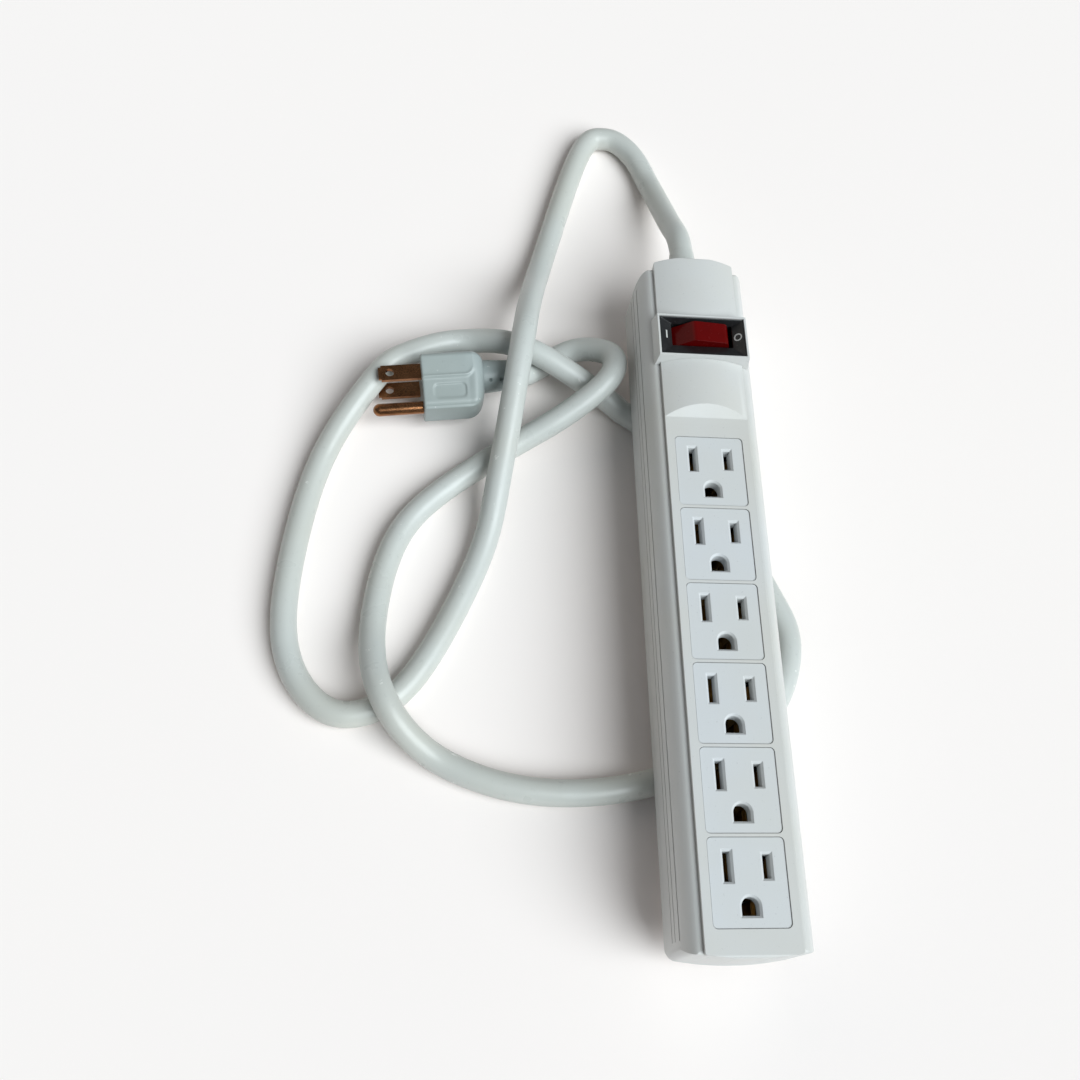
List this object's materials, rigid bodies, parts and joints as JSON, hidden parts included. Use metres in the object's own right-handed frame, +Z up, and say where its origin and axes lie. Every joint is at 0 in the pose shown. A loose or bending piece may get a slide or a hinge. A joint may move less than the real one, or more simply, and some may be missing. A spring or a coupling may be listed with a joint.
{
  "type": "power strip",
  "caption": "Long moulded power strip with a row of grounded outlets, a lighted rocker switch at one end, and a looped mains lead ending in a grounded plug.",
  "frame": {"origin": "centre of the housing's bounding box, lead and plug left out", "axes": "+X across the housing to the right, +Y along it towards the switch and the lead's exit, +Z up out of the outlet faces"},
  "size_m": [0.1927, 0.3522, 0.0433],
  "materials": {
    "cover_plastic": "fine satin, off-white",
    "face_plastic": "fine satin, off-white",
    "black_plastic": "satin black",
    "mark_white": "printed white",
    "rocker_red": "glossy translucent red",
    "lamp_glass": "clear glass",
    "resistor_body": "lacquered tan",
    "plunger_nylon": "natural nylon",
    "spring_steel": "bright wire",
    "brass": "pressed brass strip",
    "contact_silver": "silver contact",
    "fibre_sheet": "pressed grey fibre",
    "wire_black": "vinyl insulation",
    "wire_white": "vinyl insulation",
    "wire_green": "vinyl insulation",
    "screw_steel": "zinc-plated",
    "clamp_nylon": "natural nylon",
    "cord_vinyl": "soft vinyl, off-white",
    "blade_plating": "nickel-plated brass"
  },
  "bodies": {
    "housing": {"top_cover": "cover_plastic", "bottom_cover": "cover_plastic", "outlet_face_1": "face_plastic", "outlet_face_2": "face_plastic", "outlet_face_3": "face_plastic", "outlet_face_4": "face_plastic", "outlet_face_5": "face_plastic", "outlet_face_6": "face_plastic", "switch_frame": "black_plastic", "switch_housing": "black_plastic", "on_mark": "mark_white", "off_mark": "mark_white", "fixed_contact": "contact_silver", "lever_pin": "spring_steel", "line_terminal": "brass", "load_terminal": "brass", "lamp_terminal": "brass", "hot_bus_bar": "brass", "neutral_bus_bar": "brass", "ground_bus_bar": "brass", "insulating_sheet": "fibre_sheet", "line_lead": "wire_black", "neutral_lead": "wire_white", "ground_lead": "wire_green", "load_lead": "wire_black", "bus_rivets": "spring_steel", "case_screws": "screw_steel", "cord_clamp": "clamp_nylon", "clamp_screws": "screw_steel", "cord_gland": "cord_vinyl", "power_cord": "cord_vinyl", "plug_body": "cord_vinyl", "plug_strain_relief": "cord_vinyl", "plug_blade_hot": "blade_plating", "plug_blade_neutral": "blade_plating", "plug_ground_pin": "blade_plating"},
    "rocker_body": {"rocker": "rocker_red", "neon_lamp": "lamp_glass", "lamp_resistor": "resistor_body", "plunger": "plunger_nylon", "plunger_spring": "spring_steel"},
    "lever_body": {"contact_lever": "brass", "moving_contact": "contact_silver"}
  },
  "joints": [
    {"name": "rocker_tilt", "type": "hinge", "parent": "housing", "child": "rocker_body", "pos_m": [0.0006, 0.0933, 0.0041], "axis": [0, 1, 0], "range_deg": [0, 30]},
    {"name": "lever_tilt", "type": "hinge", "parent": "housing", "child": "lever_body", "pos_m": [0.0006, 0.0933, -0.0043], "axis": [0, 1, 0], "range_deg": [-14, 0]}
  ],
  "couplings": [
    {"joint": "lever_tilt", "follows": "rocker_tilt", "ratio": -0.4666}
  ]
}
